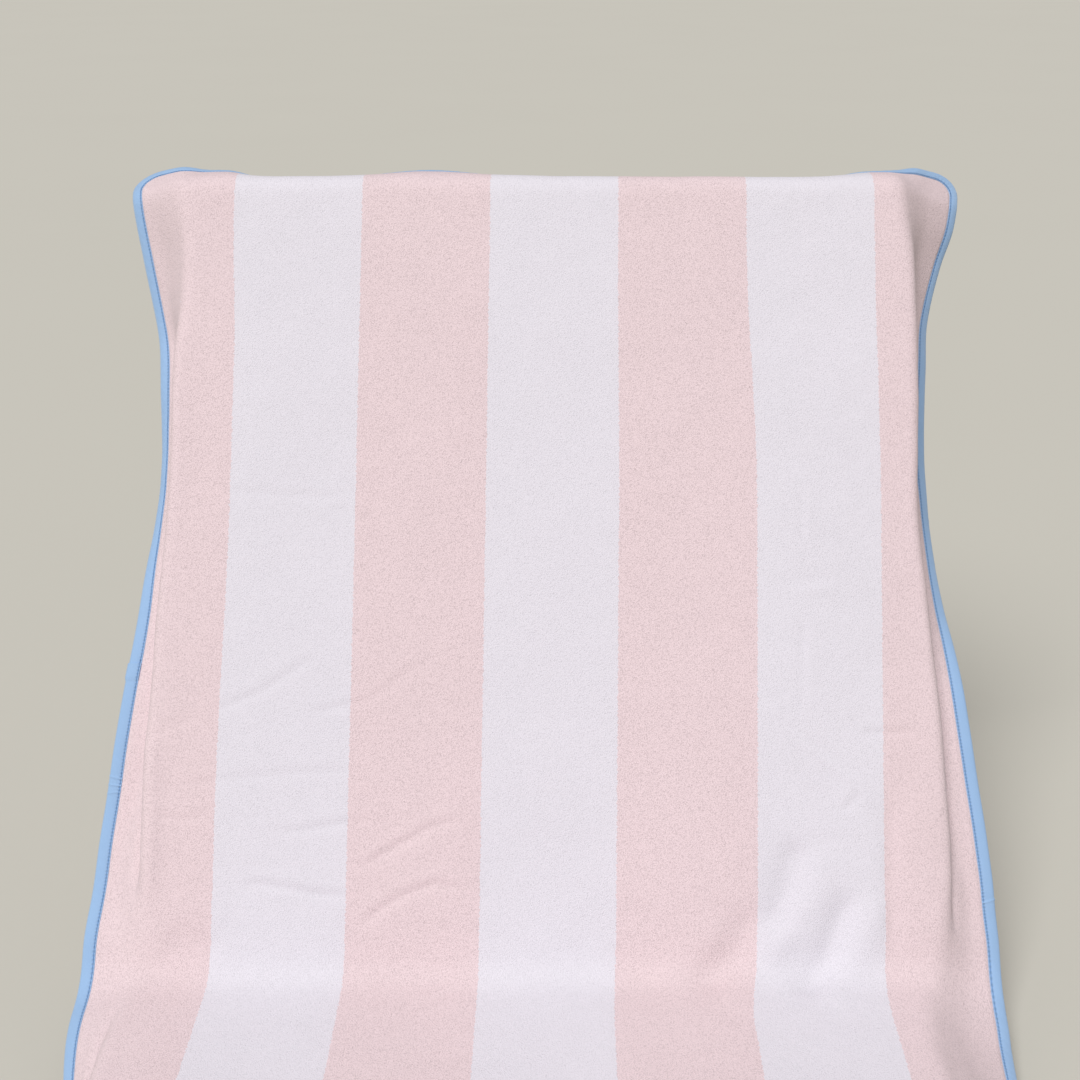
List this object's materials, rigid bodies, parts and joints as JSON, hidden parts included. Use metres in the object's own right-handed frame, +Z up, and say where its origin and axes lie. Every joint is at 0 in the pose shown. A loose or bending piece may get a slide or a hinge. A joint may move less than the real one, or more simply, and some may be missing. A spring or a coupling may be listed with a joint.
{
  "type": "striped terry lounger towel",
  "caption": "Cabana-striped terry towel with bias-bound rounded edges, draped over a raised lounger back and seat.",
  "frame": {"origin": "on the underside of the seat stretch, in the middle of its length, on the middle plane of the lounger it lies on", "axes": "+Z up, +Y backwards towards the raised back stretch, +X to the right as seen by someone standing at the foot"},
  "size_m": [0.7931, 1.2624, 0.6862],
  "materials": {
    "pink_pile": "matte",
    "white_pile": "matte",
    "ground_cotton": "matte",
    "blue_tape": "matte",
    "blue_thread": "satin"
  },
  "bodies": {
    "root": {"ground_weave": "ground_cotton", "face_stripe_1_pink": "pink_pile", "face_stripe_2_white": "white_pile", "face_stripe_3_pink": "pink_pile", "face_stripe_4_white": "white_pile", "face_stripe_5_pink": "pink_pile", "face_stripe_6_white": "white_pile", "face_stripe_7_pink": "pink_pile", "back_stripe_1_pink": "pink_pile", "back_stripe_2_white": "white_pile", "back_stripe_3_pink": "pink_pile", "back_stripe_4_white": "white_pile", "back_stripe_5_pink": "pink_pile", "back_stripe_6_white": "white_pile", "back_stripe_7_pink": "pink_pile", "edge_binding": "blue_tape", "needle_thread": "blue_thread", "bobbin_thread": "blue_thread"}
  },
  "joints": []
}
